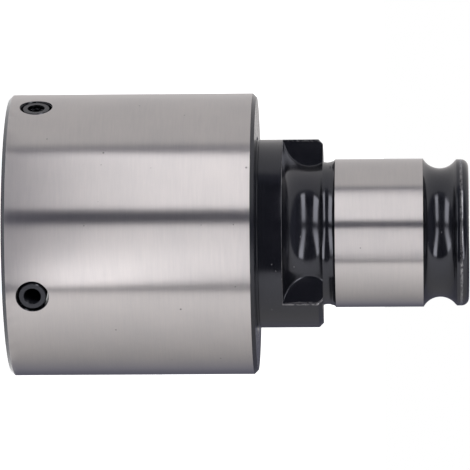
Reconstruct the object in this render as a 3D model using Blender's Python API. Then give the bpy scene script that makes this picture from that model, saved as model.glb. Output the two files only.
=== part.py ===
"""Quick-change tapping adapter for round dies, with an overload ball clutch inside its head.

The adapter stands on the open front face of its head. The origin is the centre of that face, and
+Z runs along the axis to the end of the shank. The drive lugs lie on the X axis. Sizes are in metres.
"""

import math

import bmesh
import bpy
from mathutils import Matrix, Vector

# Clearances and small edges
GAP = 0.0003
EDGE = 0.0004

# Shank body: guiding shank round the rod bore, ball groove, end flange
SHANK_DIAMETER = 0.031
SHANK_WALL = 0.005
SHANK_LENGTH = 0.0186
BALL_GROOVE_RADIUS = 0.004
BALL_GROOVE_DEPTH = 0.00205
END_FLANGE_STEP = 0.0002
END_FLANGE_LENGTH = 0.0026
END_FLANGE_ROUNDING = 0.0016

# Shank body: neck, drive lugs with the milled groove between them, collar, inner flange
NECK_STEP = 0.00045
NECK_LENGTH = 0.0023
LUG_HEIGHT = 0.0042
LUG_WIDTH = 0.015
LUG_CHAMFER = 0.0009
DRIVE_GROOVE_RADIUS = 0.0055
DRIVE_GROOVE_BELOW_NECK = 0.00085
DRIVE_GROOVE_RUNOUT = 0.0002
COLLAR_LENGTH = 0.0055
FLANGE_THICKNESS = 0.006
THRUST_WASHER_THICKNESS = 0.0012

# Head sleeve: from the journal's bore outwards by a retaining step, the die seat's shoulder and the
# wall. The pocket comes to 45.2 mm, for a 45 x 14 mm round die.
RETAINING_STEP = 0.00175
SEAT_SHOULDER = 0.00085
HEAD_WALL = 0.0068
HEAD_CHAMFER = 0.0008
REAR_WALL = 0.0046
DIE_THICKNESS = 0.014
DIE_PROUD = 0.001

# Set screws that clamp the die, M6 with a cone point, a little behind its middle
SCREW_COUNT = 4
SCREW_DIAMETER = 0.006
SCREW_BEHIND_DIE_MIDDLE = 0.00025
SCREW_SUNK = 0.0003
SCREW_SHORT_OF_POCKET = 0.0005
SCREW_POINT_LENGTH = 0.0012
SCREW_POINT_DIAMETER = 0.002
SOCKET_WIDTH = 0.003
SOCKET_DEPTH = 0.0025
FIRST_SCREW_ANGLE = math.radians(45)

# Die seat ring, lock nut and adjusting nut
SEAT_RING_THICKNESS = 0.0025
SEAT_RING_WIDTH = 0.0033
LOCK_NUT_THICKNESS = 0.003
ADJUSTING_NUT_THICKNESS = 0.005
NUT_SLOT_COUNT = 4
NUT_SLOT_WIDTH = 0.004
NUT_SLOT_DEPTH = 0.0018
NUT_SLOT_REACH = 0.0045

# Disc springs, stacked in series
DISC_COUNT = 4
DISC_THICKNESS = 0.00125
DISC_CONE_HEIGHT = 0.0006

# Pressure plate with its hub tube, and the pins that keep it from turning
PLATE_FLOOR = 0.0015
HUB_WALL = 0.0017
PIN_COUNT = 4
PIN_DIAMETER = 0.003
FIRST_PIN_ANGLE = math.radians(15)

# Clutch balls and the ramps that they climb when the clutch slips
BALL_COUNT = 6
BALL_DIAMETER = 0.006
BALL_TO_PIN = 0.00045
BALL_DEPTH_IN_FLANGE = 0.0018
FACE_GAP = 0.0012
RAMP_RIM = 0.0002
SLIP_ANGLE = math.radians(25)

# Facets
SEGMENTS = 48
SMALL_SEGMENTS = 16
ARC_STEPS = 8
SHARP_ANGLE = math.radians(30)

# Radii, worked out from the shank outwards
shank_radius = SHANK_DIAMETER / 2
rod_bore_radius = shank_radius - SHANK_WALL
neck_radius = shank_radius - NECK_STEP
end_flange_radius = shank_radius - END_FLANGE_STEP
ball_groove_centre_radius = shank_radius - BALL_GROOVE_DEPTH + BALL_GROOVE_RADIUS
drive_groove_centre_radius = neck_radius - DRIVE_GROOVE_BELOW_NECK + DRIVE_GROOVE_RADIUS
collar_radius = shank_radius + LUG_HEIGHT
journal_bore_radius = collar_radius + GAP
head_bore_radius = journal_bore_radius + RETAINING_STEP
inside_radius = head_bore_radius - GAP
pocket_radius = head_bore_radius + SEAT_SHOULDER
head_radius = pocket_radius + HEAD_WALL
hub_radius = rod_bore_radius + HUB_WALL
hub_hole_radius = hub_radius + GAP
pin_radius = PIN_DIAMETER / 2
disc_radius = head_bore_radius - pin_radius - GAP
ball_radius = BALL_DIAMETER / 2
ball_circle_radius = head_bore_radius - pin_radius - BALL_TO_PIN - ball_radius

# Heights along the axis, stacked from the front face to the head's rear face
seat_ring_front = DIE_THICKNESS - DIE_PROUD
seat_ring_rear = seat_ring_front + SEAT_RING_THICKNESS
screw_height = seat_ring_front - DIE_THICKNESS / 2 + SCREW_BEHIND_DIE_MIDDLE
screw_length = HEAD_WALL - SCREW_SUNK - SCREW_SHORT_OF_POCKET
shoulder = seat_ring_rear + GAP
lock_nut_front = shoulder + GAP
lock_nut_rear = lock_nut_front + LOCK_NUT_THICKNESS
adjusting_nut_front = lock_nut_rear + GAP
adjusting_nut_rear = adjusting_nut_front + ADJUSTING_NUT_THICKNESS
first_disc = adjusting_nut_rear + GAP
disc_pitch = DISC_THICKNESS + DISC_CONE_HEIGHT + GAP
plate_front = first_disc + DISC_COUNT * disc_pitch
socket_depth = BALL_DIAMETER + GAP - BALL_DEPTH_IN_FLANGE - FACE_GAP
plate_rear = plate_front + PLATE_FLOOR + socket_depth
slip_lift = BALL_DEPTH_IN_FLANGE - RAMP_RIM
hub_front = lock_nut_front + slip_lift
flange_front = plate_rear + FACE_GAP
flange_rear = flange_front + FLANGE_THICKNESS
ball_height = flange_front + BALL_DEPTH_IN_FLANGE - ball_radius
washer_front = flange_rear + GAP
washer_rear = washer_front + THRUST_WASHER_THICKNESS
rear_wall_front = washer_rear + GAP
head_rear = rear_wall_front + REAR_WALL


def half_width(groove_radius, centre_radius, radius):
    """Half the width of a round-bottomed groove where it cuts a cylinder of this radius."""
    return math.sqrt(groove_radius**2 - (centre_radius - radius) ** 2)


# Heights along the shank
drive_groove_centre = head_rear + COLLAR_LENGTH + DRIVE_GROOVE_RADIUS
groove_to_neck = half_width(DRIVE_GROOVE_RADIUS, drive_groove_centre_radius, neck_radius)
lug_end = drive_groove_centre + groove_to_neck - DRIVE_GROOVE_RUNOUT
neck_end = lug_end + NECK_LENGTH
shank_end = neck_end + SHANK_LENGTH
ball_groove_centre = shank_end + half_width(BALL_GROOVE_RADIUS, ball_groove_centre_radius, shank_radius)
groove_to_flange = half_width(BALL_GROOVE_RADIUS, ball_groove_centre_radius, end_flange_radius)
total_length = ball_groove_centre + groove_to_flange + END_FLANGE_LENGTH


def finish(name, colour, roughness, metallic=1.0):
    material = bpy.data.materials.new(name)
    material.use_nodes = True
    shader = material.node_tree.nodes["Principled BSDF"]
    shader.inputs["Base Color"].default_value = (*colour, 1.0)
    shader.inputs["Roughness"].default_value = roughness
    shader.inputs["Metallic"].default_value = metallic
    return material


def placed(name, mesh, material=None, location=(0, 0, 0), rotation=(0, 0, 0), parent=None):
    """An object of this mesh in the scene, shaded smooth with sharp edges."""
    mesh.shade_smooth()
    mesh.set_sharp_from_angle(angle=SHARP_ANGLE)
    if material and not mesh.materials:
        mesh.materials.append(material)
    body = bpy.data.objects.new(name, mesh)
    body.location = location
    body.rotation_euler = rotation
    body.parent = parent
    bpy.context.scene.collection.objects.link(body)
    return body


def axis_empty(name, height):
    """An empty on the adapter's axis that carries the pieces of one moving body."""
    empty = bpy.data.objects.new(name, None)
    empty.location = (0, 0, height)
    empty.empty_display_size = head_radius
    bpy.context.scene.collection.objects.link(empty)
    return empty


def mesh_of(name, shape):
    bmesh.ops.remove_doubles(shape, verts=shape.verts, dist=1e-7)
    bmesh.ops.recalc_face_normals(shape, faces=shape.faces)
    mesh = bpy.data.meshes.new(name)
    shape.to_mesh(mesh)
    shape.free()
    return mesh


def arc(centre, radius, start, end, steps=ARC_STEPS):
    """Profile points on an arc round (radius, height) centre, its angles measured from outwards to up."""
    angles = [start + (end - start) * step / steps for step in range(steps + 1)]
    return [(centre[0] + radius * math.cos(a), centre[1] + radius * math.sin(a)) for a in angles]


def turned_mesh(name, profile, segments=SEGMENTS, closed=True, base=0.0):
    """Spins (radius, height) points round Z. An open profile starts and ends on the axis."""
    shape = bmesh.new()
    points = [shape.verts.new((radius, 0, height - base)) for radius, height in profile]
    pairs = list(zip(points, points[1:]))
    if closed:
        pairs.append((points[-1], points[0]))
    edges = [shape.edges.new(pair) for pair in pairs]
    bmesh.ops.spin(
        shape,
        geom=points + edges,
        cent=(0, 0, 0),
        axis=(0, 0, 1),
        angle=math.tau,
        steps=segments,
        use_merge=True,
    )
    return mesh_of(name, shape)


def round_places(count, radius, height, first_angle=0.0):
    """A matrix for each of count places on a circle, with local X pointing outwards."""
    for step in range(count):
        turn = Matrix.Rotation(first_angle + math.tau * step / count, 4, "Z")
        yield turn @ Matrix.Translation((radius, 0, height))


def add_cylinder(shape, radius, length, matrix, sides=SMALL_SEGMENTS):
    """A closed cylinder along the matrix's Z axis, centred on its origin."""
    bmesh.ops.create_cone(
        shape,
        cap_ends=True,
        segments=sides,
        radius1=radius,
        radius2=radius,
        depth=length,
        matrix=matrix,
    )


def add_box(shape, size, matrix):
    bmesh.ops.create_cube(shape, size=1.0, matrix=matrix @ Matrix.Diagonal((*size, 1.0)))


def add_ball(shape, radius, matrix):
    bmesh.ops.create_uvsphere(
        shape, u_segments=SMALL_SEGMENTS, v_segments=SMALL_SEGMENTS // 2, radius=radius, matrix=matrix
    )


def add_swept_ball(shape, radius, path, sides=SMALL_SEGMENTS):
    """The space that a ball of this radius takes while its centre runs along path."""
    cap_steps = sides // 4
    ends = ((path[0], (path[1] - path[0]).normalized()), (path[-1], (path[-1] - path[-2]).normalized()))
    (first, start_way), (last, end_way) = ends
    stations = []
    for step in range(cap_steps - 1, 0, -1):
        lean = math.pi / 2 * step / cap_steps
        stations.append((first - start_way * radius * math.sin(lean), start_way, radius * math.cos(lean)))
    for index, point in enumerate(path):
        before = path[max(index - 1, 0)]
        after = path[min(index + 1, len(path) - 1)]
        stations.append((point, (after - before).normalized(), radius))
    for step in range(1, cap_steps):
        lean = math.pi / 2 * step / cap_steps
        stations.append((last + end_way * radius * math.sin(lean), end_way, radius * math.cos(lean)))
    rings = []
    for centre, way, ring_radius in stations:
        side = way.cross(Vector((0, 0, 1))).normalized()
        up = side.cross(way)
        spokes = [math.tau * (corner + 0.5) / sides for corner in range(sides)]
        rings.append(
            [shape.verts.new(centre + (side * math.cos(a) + up * math.sin(a)) * ring_radius) for a in spokes]
        )
    poles = (shape.verts.new(first - start_way * radius), shape.verts.new(last + end_way * radius))
    for corner in range(sides):
        following = (corner + 1) % sides
        for ring, next_ring in zip(rings, rings[1:]):
            shape.faces.new((ring[corner], ring[following], next_ring[following], next_ring[corner]))
        shape.faces.new((poles[0], rings[0][following], rings[0][corner]))
        shape.faces.new((poles[1], rings[-1][corner], rings[-1][following]))


def cut(body, name, shape_or_mesh, parent=None):
    """Takes a cutter's shape away from the body. The cutter stays in the file as a wire guide."""
    is_mesh = isinstance(shape_or_mesh, bpy.types.Mesh)
    cutter = placed(name, shape_or_mesh if is_mesh else mesh_of(name, shape_or_mesh), parent=parent)
    cutter.hide_render = True
    cutter.display_type = "WIRE"
    modifier = body.modifiers.new(name, "BOOLEAN")
    modifier.operation = "DIFFERENCE"
    modifier.solver = "EXACT"
    modifier.object = cutter
    return cutter


def make_head_sleeve(material):
    profile = [
        (pocket_radius + EDGE, 0),
        (head_radius - HEAD_CHAMFER, 0),
        (head_radius, HEAD_CHAMFER),
        (head_radius, head_rear - HEAD_CHAMFER),
        (head_radius - HEAD_CHAMFER, head_rear),
        (journal_bore_radius + EDGE, head_rear),
        (journal_bore_radius, head_rear - EDGE),
        (journal_bore_radius, rear_wall_front),
        (head_bore_radius, rear_wall_front),
        (head_bore_radius, shoulder),
        (pocket_radius, shoulder),
        (pocket_radius, EDGE),
    ]
    head = placed("head_sleeve", turned_mesh("head_sleeve", profile), material)

    holes = bmesh.new()
    lying = Matrix.Rotation(math.pi / 2, 4, "Y")
    for place in round_places(SCREW_COUNT, pocket_radius + HEAD_WALL / 2, screw_height, FIRST_SCREW_ANGLE):
        add_cylinder(holes, SCREW_DIAMETER / 2 + GAP, 2 * HEAD_WALL, place @ lying)
    cut(head, "screw_hole_cutter", holes)

    keyways = bmesh.new()
    keyway_end = plate_rear + GAP
    for place in round_places(PIN_COUNT, head_bore_radius, keyway_end / 2 - EDGE, FIRST_PIN_ANGLE):
        add_cylinder(keyways, pin_radius + GAP, keyway_end + 2 * EDGE, place)
    cut(head, "keyway_cutter", keyways)
    return head


def make_die_screws(material):
    """The set screws lie radially, each with its local Z axis pointing out of the head."""
    radius = SCREW_DIAMETER / 2
    point_radius = SCREW_POINT_DIAMETER / 2
    profile = [
        (0, 0),
        (radius - EDGE, 0),
        (radius, -EDGE),
        (radius, SCREW_POINT_LENGTH - screw_length),
        (point_radius, -screw_length),
        (0, -screw_length),
    ]
    mesh = turned_mesh("die_screw", profile, segments=SMALL_SEGMENTS, closed=False)
    socket = bmesh.new()
    corner_radius = SOCKET_WIDTH / math.sqrt(3)
    add_cylinder(socket, corner_radius, 2 * SOCKET_DEPTH, Matrix.Identity(4), sides=6)
    outer_face = head_radius - SCREW_SUNK
    places = round_places(SCREW_COUNT, outer_face, screw_height, FIRST_SCREW_ANGLE)
    cutter = None
    for number, place in enumerate(places, 1):
        where = place @ Matrix.Rotation(math.pi / 2, 4, "Y")
        screw = placed(f"die_screw_{number}", mesh, material, where.to_translation(), where.to_euler())
        socket_name = f"socket_cutter_{number}"
        cutter = cut(screw, socket_name, cutter.data if cutter else socket, parent=screw)


def ring_profile(inner, outer, front, rear):
    return [(inner, front), (outer, front), (outer, rear), (inner, rear)]


def make_die_seat_ring(material):
    outer = pocket_radius - GAP
    profile = ring_profile(outer - SEAT_RING_WIDTH, outer, seat_ring_front, seat_ring_rear)
    placed("die_seat_ring", turned_mesh("die_seat_ring", profile), material)


def make_nut(name, front, rear, material):
    """A ring nut with open slots in its front face for a pin spanner."""
    middle = (front + rear) / 2
    profile = ring_profile(hub_hole_radius, inside_radius, front, rear)
    nut = placed(name, turned_mesh(name, profile, base=middle), material, (0, 0, middle))
    slots = bmesh.new()
    reach = NUT_SLOT_REACH + GAP
    size = (reach, NUT_SLOT_WIDTH, 2 * NUT_SLOT_DEPTH)
    slot_middle = hub_hole_radius + NUT_SLOT_REACH - reach / 2
    for place in round_places(NUT_SLOT_COUNT, slot_middle, front - middle):
        add_box(slots, size, place)
    cut(nut, f"{name}_slot_cutter", slots, parent=nut)


def make_disc_springs(material):
    """Cone discs that touch by turns at their outer and their inner edges."""
    for number in range(DISC_COUNT):
        low = first_disc + number * disc_pitch
        inner_rise, outer_rise = (DISC_CONE_HEIGHT, 0) if number % 2 else (0, DISC_CONE_HEIGHT)
        profile = [
            (hub_hole_radius, low + inner_rise),
            (disc_radius, low + outer_rise),
            (disc_radius, low + outer_rise + DISC_THICKNESS),
            (hub_hole_radius, low + inner_rise + DISC_THICKNESS),
        ]
        name = f"disc_spring_{number + 1}"
        placed(name, turned_mesh(name, profile), material)


def make_pressure_plate(material, axis):
    profile = [
        (rod_bore_radius, hub_front),
        (hub_radius, hub_front),
        (hub_radius, plate_front),
        (inside_radius, plate_front),
        (inside_radius, plate_rear),
        (rod_bore_radius, plate_rear),
    ]
    height = axis.location.z
    plate = placed("pressure_plate", turned_mesh("pressure_plate", profile, base=height), material, parent=axis)

    sockets = bmesh.new()
    for place in round_places(BALL_COUNT, ball_circle_radius, ball_height - height):
        add_ball(sockets, ball_radius + GAP, place)
    cut(plate, "ball_socket_cutter", sockets, parent=axis)

    notches = bmesh.new()
    middle = (plate_front + plate_rear) / 2 - height
    for place in round_places(PIN_COUNT, head_bore_radius, middle, FIRST_PIN_ANGLE):
        add_cylinder(notches, pin_radius + GAP, 2 * (plate_rear - plate_front), place)
    cut(plate, "pin_notch_cutter", notches, parent=axis)


def make_drive_pins(material):
    length = plate_rear - first_disc
    shape = bmesh.new()
    add_cylinder(shape, pin_radius, length, Matrix.Identity(4))
    mesh = mesh_of("drive_pin", shape)
    places = round_places(PIN_COUNT, head_bore_radius, first_disc + length / 2, FIRST_PIN_ANGLE)
    for number, place in enumerate(places, 1):
        placed(f"drive_pin_{number}", mesh, material, place.to_translation(), place.to_euler())


def make_clutch_balls(material, axis):
    shape = bmesh.new()
    add_ball(shape, ball_radius, Matrix.Identity(4))
    mesh = mesh_of("clutch_ball", shape)
    for number, place in enumerate(round_places(BALL_COUNT, ball_circle_radius, 0), 1):
        placed(f"clutch_ball_{number}", mesh, material, place.to_translation(), place.to_euler(), axis)


def make_thrust_washer(material):
    profile = ring_profile(journal_bore_radius, inside_radius, washer_front, washer_rear)
    placed("thrust_washer", turned_mesh("thrust_washer", profile), material)


def ball_ramp_path(first_angle):
    """The ball's centre as the flange sees it, from its rest place to the top of its ramp."""
    steps = 5
    path = []
    for step in range(steps + 1):
        share = step / steps
        angle = first_angle + SLIP_ANGLE * share
        height = ball_height - slip_lift * share
        path.append(Vector((ball_circle_radius * math.cos(angle), ball_circle_radius * math.sin(angle), height)))
    return path


def make_shank_body(material, axis):
    shank_side = math.acos((ball_groove_centre_radius - shank_radius) / BALL_GROOVE_RADIUS)
    flange_side = math.acos((ball_groove_centre_radius - end_flange_radius) / BALL_GROOVE_RADIUS)
    rounding_centre = (end_flange_radius - END_FLANGE_ROUNDING, total_length - END_FLANGE_ROUNDING)
    profile = [
        (rod_bore_radius, flange_front),
        (inside_radius, flange_front),
        (inside_radius, flange_rear),
        (collar_radius, flange_rear),
        (collar_radius, lug_end - LUG_CHAMFER),
        (collar_radius - LUG_CHAMFER, lug_end),
        (neck_radius, lug_end),
        (neck_radius, neck_end),
        (shank_radius - EDGE, neck_end),
        (shank_radius, neck_end + EDGE),
        *arc(
            (ball_groove_centre_radius, ball_groove_centre),
            BALL_GROOVE_RADIUS,
            math.pi + shank_side,
            math.pi - flange_side,
        ),
        *arc(rounding_centre, END_FLANGE_ROUNDING, 0, math.pi / 2, steps=ARC_STEPS // 2),
        (rod_bore_radius + EDGE, total_length),
        (rod_bore_radius, total_length - EDGE),
    ]
    height = axis.location.z
    shank = placed("shank_body", turned_mesh("shank_body", profile, base=height), material, parent=axis)

    # The milled groove runs right round between the lugs, and a slab keeps it off them
    centre = (drive_groove_centre_radius, drive_groove_centre)
    outside = max(collar_radius, drive_groove_centre_radius) + DRIVE_GROOVE_RADIUS
    groove = [
        *arc(centre, DRIVE_GROOVE_RADIUS, -math.pi / 2, -3 * math.pi / 2, 2 * ARC_STEPS),
        (outside, drive_groove_centre + DRIVE_GROOVE_RADIUS),
        (outside, drive_groove_centre - DRIVE_GROOVE_RADIUS),
    ]
    groove_cutter = cut(shank, "drive_groove_cutter", turned_mesh("groove", groove, base=height), parent=axis)
    slab = bmesh.new()
    slab_place = Matrix.Translation((0, 0, drive_groove_centre - height))
    add_box(slab, (3 * outside, LUG_WIDTH, 3 * DRIVE_GROOVE_RADIUS), slab_place)
    cut(groove_cutter, "lug_slab", slab, parent=axis)

    ramps = bmesh.new()
    for step in range(BALL_COUNT):
        path = ball_ramp_path(math.tau * step / BALL_COUNT)
        add_swept_ball(ramps, ball_radius + GAP, [point - axis.location for point in path])
    cut(shank, "ball_ramp_cutter", ramps, parent=axis)


def main():
    for old in list(bpy.data.objects):
        bpy.data.objects.remove(old)

    ground_steel = finish("ground_steel", (0.72, 0.70, 0.70), 0.3)
    black_oxide = finish("black_oxide", (0.045, 0.047, 0.055), 0.35)
    hardened_steel = finish("hardened_steel", (0.42, 0.41, 0.40), 0.35)
    spring_steel = finish("spring_steel", (0.16, 0.15, 0.15), 0.45)
    ball_steel = finish("ball_steel", (0.8, 0.8, 0.8), 0.08)

    shank_axis = axis_empty("shank_axis", flange_front)
    plate_axis = axis_empty("plate_axis", ball_height)

    make_head_sleeve(ground_steel)
    make_die_screws(black_oxide)
    make_die_seat_ring(hardened_steel)
    make_nut("lock_nut", lock_nut_front, lock_nut_rear, black_oxide)
    make_nut("adjusting_nut", adjusting_nut_front, adjusting_nut_rear, black_oxide)
    make_disc_springs(spring_steel)
    make_pressure_plate(hardened_steel, plate_axis)
    make_drive_pins(hardened_steel)
    make_clutch_balls(ball_steel, plate_axis)
    make_thrust_washer(hardened_steel)
    make_shank_body(black_oxide, shank_axis)
    bpy.context.view_layer.update()


main()
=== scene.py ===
"""The looks of the quick-change tapping adapter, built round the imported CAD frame. Sizes are in metres."""

import math

import bmesh
import bpy
from bpy.props import FloatProperty, FloatVectorProperty, IntProperty, PointerProperty
from mathutils import Matrix, Vector


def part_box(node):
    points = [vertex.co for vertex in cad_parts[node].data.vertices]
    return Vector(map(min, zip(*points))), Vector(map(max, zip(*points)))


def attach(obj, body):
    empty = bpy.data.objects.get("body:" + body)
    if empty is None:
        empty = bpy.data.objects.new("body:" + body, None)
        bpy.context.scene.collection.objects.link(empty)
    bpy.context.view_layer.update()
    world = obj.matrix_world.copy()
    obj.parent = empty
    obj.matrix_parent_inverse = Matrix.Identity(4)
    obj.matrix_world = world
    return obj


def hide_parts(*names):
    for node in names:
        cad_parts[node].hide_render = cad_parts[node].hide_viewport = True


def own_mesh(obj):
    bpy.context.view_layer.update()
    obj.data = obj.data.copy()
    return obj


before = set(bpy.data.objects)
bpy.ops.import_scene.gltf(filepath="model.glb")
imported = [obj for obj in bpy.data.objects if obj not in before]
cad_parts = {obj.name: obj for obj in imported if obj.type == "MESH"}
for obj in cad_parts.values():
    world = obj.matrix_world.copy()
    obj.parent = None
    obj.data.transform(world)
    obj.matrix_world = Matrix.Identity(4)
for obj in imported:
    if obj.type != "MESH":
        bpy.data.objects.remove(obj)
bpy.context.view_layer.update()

bl_info = {
    "name": "Quick-change tapping adapter",
    "version": (1, 0, 0),
    "blender": (4, 5, 0),
    "location": "View3D > Sidebar > Adapter",
    "description": "Dresses the packed adapter with ground, blackened and hardened steel pieces",
    "category": "Object",
}

# What the frame says
head_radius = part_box("head_sleeve")[1].x
head_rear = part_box("head_sleeve")[1].z
flange_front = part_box("shank_body")[0].z
flange_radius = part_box("shank_body")[1].x
total_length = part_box("shank_body")[1].z


def length(name, default, description):
    """A length that a user may change."""
    return FloatProperty(
        name=name, description=description, default=default, min=0.0, unit="LENGTH", precision=5
    )


def colour(name, default, description):
    return FloatVectorProperty(
        name=name, description=description, default=default, size=3, min=0.0, max=1.0, subtype="COLOR"
    )


def angle(name, degrees, description):
    return FloatProperty(
        name=name, description=description, default=math.radians(degrees), subtype="ANGLE"
    )


class HeadSizes(bpy.types.PropertyGroup):
    """The head sleeve's bores, walls and edges."""

    pocket_radius: length("Pocket radius", 0.0226, "Radius of the pocket that holds the die")
    bore_radius: length("Bore radius", 0.02175, "Radius of the bore behind the die")
    journal_radius: length("Journal radius", 0.0200, "Radius of the bore that the collar turns in")
    shoulder: length("Shoulder", 0.0158, "Height of the shoulder behind the die")
    rear_wall: length("Rear wall", 0.0046, "Thickness of the wall behind the mechanism")
    chamfer: length("Chamfer", 0.0008, "Blackened chamfers at both ends")
    small_edge: length("Small edge", 0.0004, "Chamfers on the bores")
    mouth_radius: length("Screw hole mouth", 0.00342, "Radius of a screw hole's mouth")
    hole_radius: length("Screw hole", 0.0033, "Radius of a screw hole")
    keyway_radius: length("Keyway", 0.0018, "Radius of the keyways for the drive pins")
    keyway_end: length("Keyway end", 0.0384, "Height at which the keyways end")


class ShankSizes(bpy.types.PropertyGroup):
    """The shank body from the inner flange to the end flange."""

    bore_radius: length("Rod bore", 0.0105, "Radius of the bore right through")
    flange_rear: length("Flange rear", 0.0453, "Height of the inner flange's rear face")
    collar_radius: length("Collar radius", 0.0197, "Radius of the collar and of the drive lugs")
    collar_end: length("Collar end", 0.0572, "Height at which the drive groove starts")
    lug_half_width: length("Lug half width", 0.0075, "Half the width across a drive lug")
    lug_chamfer: length("Lug chamfer", 0.0009, "Chamfer round the lugs' ends")
    groove_radius: length("Drive groove", 0.0055, "Radius of the milled groove between the lugs")
    neck_radius: length("Neck radius", 0.01505, "Radius of the neck")
    neck_length: length("Neck length", 0.0023, "Length from the lugs' ends to the ground shank")
    shank_radius: length("Shank radius", 0.0155, "Radius of the ground shank")
    shank_start: length("Shank start", 0.06773726, "Height at which the shank starts")
    shank_end: length("Shank end", 0.08633726, "Height at which the ball groove starts")
    ball_groove_radius: length("Ball groove", 0.004, "Radius of the ball groove's section")
    ball_groove_depth: length("Ball groove depth", 0.00205, "Depth of the ball groove under the shank")
    rounding: length("End rounding", 0.0016, "Rounding of the end flange")
    edge_radius: length("Worn edge", 0.00014, "Rounding of the milled edges")
    foot_radius: length("Foot fillet", 0.0003, "Fillet at the foot of a lug's side")


class ScrewSizes(bpy.types.PropertyGroup):
    """The M6 set screws that clamp the die."""

    count: IntProperty(name="Screws", description="Set screws round the head", default=4, min=1)
    height: length("Height", 0.00625, "Height of the screws' axes above the front face")
    first_angle: angle("First angle", 45.0, "Direction of the first screw")
    radius: length("Radius", 0.003, "Outside radius of the thread")
    pitch: length("Pitch", 0.001, "Pitch of the thread")
    socket_width: length("Socket", 0.003, "Width across the flats of the hexagon socket")
    socket_depth: length("Socket depth", 0.0025, "Depth of the hexagon socket")
    point_radius: length("Point", 0.001, "Radius of the flat on the cone point")
    point_length: length("Point length", 0.0012, "Length of the cone point")
    chamfer: length("Chamfer", 0.0003, "Chamfer round the outer face")


class ClutchSizes(bpy.types.PropertyGroup):
    """The overload clutch inside the head."""

    hub_radius: length("Hub", 0.0122, "Outside radius of the pressure plate's hub")
    hub_hole: length("Hub hole", 0.0125, "Radius of the holes that slide on the hub")
    ball_count: IntProperty(name="Balls", description="Clutch balls", default=6, min=3)
    ball_radius: length("Ball", 0.003, "Radius of a clutch ball")
    ball_circle: length("Ball circle", 0.0168, "Radius of the circle that the balls lie on")
    pin_count: IntProperty(name="Pins", description="Drive pins", default=4, min=2)
    pin_radius: length("Pin", 0.0015, "Radius of a drive pin")
    pin_first_angle: angle("First pin", 15.0, "Direction of the first drive pin")
    slot_count: IntProperty(name="Nut slots", description="Spanner slots in a nut", default=4, min=1)
    slot_width: length("Nut slot", 0.004, "Width of the slots in the nuts")
    slot_depth: length("Nut slot depth", 0.0018, "Depth of the slots in the nuts")
    slot_reach: length("Nut slot reach", 0.0045, "Length of the slots from the hub hole outwards")
    slip_angle: angle("Slip angle", 25.0, "Turn over which a ball climbs its ramp")
    slip_lift: length("Slip lift", 0.0016, "Height that a ball climbs on its ramp")
    clearance: length("Clearance", 0.0003, "Play round balls and pins")
    disc_thickness: length("Disc", 0.00125, "Thickness of a disc spring")
    disc_cone: length("Disc cone", 0.0006, "Height of a disc spring's cone")


class FinishColours(bpy.types.PropertyGroup):
    """Colours of the finishes."""

    ground: colour("Ground steel", (0.62, 0.60, 0.595), "Bright ground steel")
    ground_shade: colour("Ground steel shade", (0.54, 0.53, 0.535), "The cooler patches of the ground steel")
    black: colour("Black oxide", (0.006, 0.0064, 0.0085), "Blackened steel")
    worn: colour("Worn edge", (0.32, 0.32, 0.33), "Blackened steel where its edges are worn")
    oxide_tint: colour("Oxide tint", (0.84, 0.88, 1.0), "Tint of the reflections on blackened steel")
    nick: colour("Nicks", (0.10, 0.10, 0.11), "Small nicks in the ground steel")
    hardened: colour("Hardened steel", (0.36, 0.35, 0.335), "Ground and hardened inner pieces")
    spring: colour("Spring steel", (0.10, 0.095, 0.09), "Phosphated disc springs")
    ball: colour("Ball steel", (0.74, 0.74, 0.74), "Polished balls")
    floor: colour("Floor", (0.82, 0.82, 0.82), "Floor under the adapter")


class StageSizes(bpy.types.PropertyGroup):
    """The camera and the light tent."""

    azimuth: angle("Azimuth", 19.5, "Direction of the camera round the adapter")
    elevation: angle("Elevation", 2.06, "Height of the camera over the horizon")
    roll: angle("Roll", 0.37, "How far the axis rises to the right in the picture")
    distance: length("Distance", 1.048, "Distance of the camera")
    aim: length("Aim", 0.0469, "Height on the axis at the middle of the picture")
    lens: FloatProperty(name="Lens", description="Focal length in millimetres", default=383.0)
    drop: length("Drop", 0.00025, "How far the camera is moved down in the picture")
    tent_radius: length("Tent radius", 0.62, "Radius of the light tent")
    strip_glow: FloatProperty(name="Strip lights", description="Strength of the strip lights", default=3.9)
    wall_glow: FloatProperty(name="Tent walls", description="Strength of the tent's walls", default=0.66)
    gap_glow: FloatProperty(name="Gaps", description="Strength of the gaps between the lights", default=0.085)


def feed(tree, socket, value):
    """Links an input to a socket, or sets it to a value."""
    if isinstance(value, bpy.types.NodeSocket):
        tree.links.new(value, socket)
    else:
        socket.default_value = value


def feed_all(tree, node, inputs):
    """Feeds a node's inputs by their names."""
    for name, value in inputs.items():
        feed(tree, node.inputs[name], value)


def put(tree, kind, inputs=None, **settings):
    """A node of this kind. An input's value is a number, a colour or the socket that feeds it."""
    node = tree.nodes.new(kind)
    for name, value in settings.items():
        setattr(node, name, value)
    feed_all(tree, node, inputs or {})
    return node


def sums(tree, operation, *values):
    """The result of one Math node."""
    node = put(tree, "ShaderNodeMath", operation=operation)
    for socket, value in zip(node.inputs, values):
        feed(tree, socket, value)
    return node.outputs[0]


def vectors(tree, operation, *values):
    """The result of one Vector Math node."""
    node = put(tree, "ShaderNodeVectorMath", operation=operation)
    for socket, value in zip(node.inputs, values):
        feed(tree, socket, value)
    return node.outputs["Value" if operation == "LENGTH" else "Vector"]


def weighed(tree, first, second, part):
    """The sum of two values, of which the first has this part."""
    return sums(tree, "ADD", sums(tree, "MULTIPLY", first, part), sums(tree, "MULTIPLY", second, 1.0 - part))


def between(tree, fac, low, high, to_low=0.0, to_high=1.0):
    """fac, spread from low..high to to_low..to_high with soft ends."""
    inputs = {"Value": fac, "From Min": low, "From Max": high, "To Min": to_low, "To Max": to_high}
    return put(tree, "ShaderNodeMapRange", inputs, interpolation_type="SMOOTHSTEP").outputs["Result"]


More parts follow.
